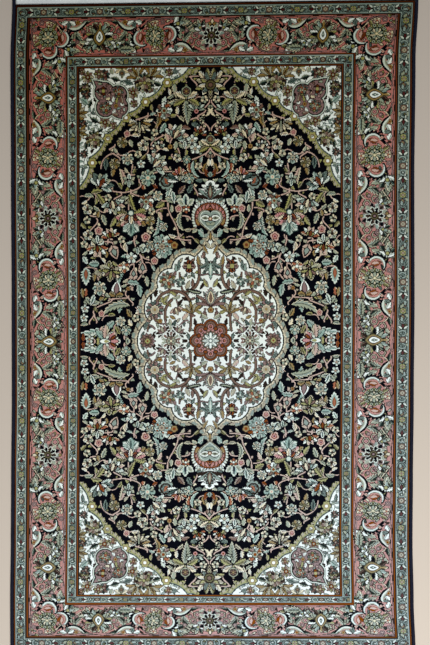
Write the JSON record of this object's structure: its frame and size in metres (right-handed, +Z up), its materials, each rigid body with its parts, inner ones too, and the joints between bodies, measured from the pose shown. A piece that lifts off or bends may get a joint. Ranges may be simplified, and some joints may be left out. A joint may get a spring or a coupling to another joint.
{
  "type": "hand-knotted silk rug with fringed ends",
  "caption": "Flat rectangular knotted silk rug with a floral medallion design, overcast side cords, and a woven strip with knotted fringe at each end.",
  "frame": {"origin": "middle of the underside, at the floor", "axes": "+X across the rug, +Y along it towards the top end, +Z up out of the pile"},
  "size_m": [0.9564, 1.6488, 0.0064],
  "materials": {
    "silk_pile": "short cut silk pile, soft sheen",
    "overcast_yarn": "navy yarn wound round the edge warps",
    "warp_fringe": "undyed plied warp yarn, plain weave and knotted locks"
  },
  "bodies": {
    "root": {"rug_body": "silk_pile", "side_cord_left": "overcast_yarn", "side_cord_right": "overcast_yarn", "end_fringe_top": "warp_fringe", "end_fringe_bottom": "warp_fringe"}
  },
  "joints": []
}
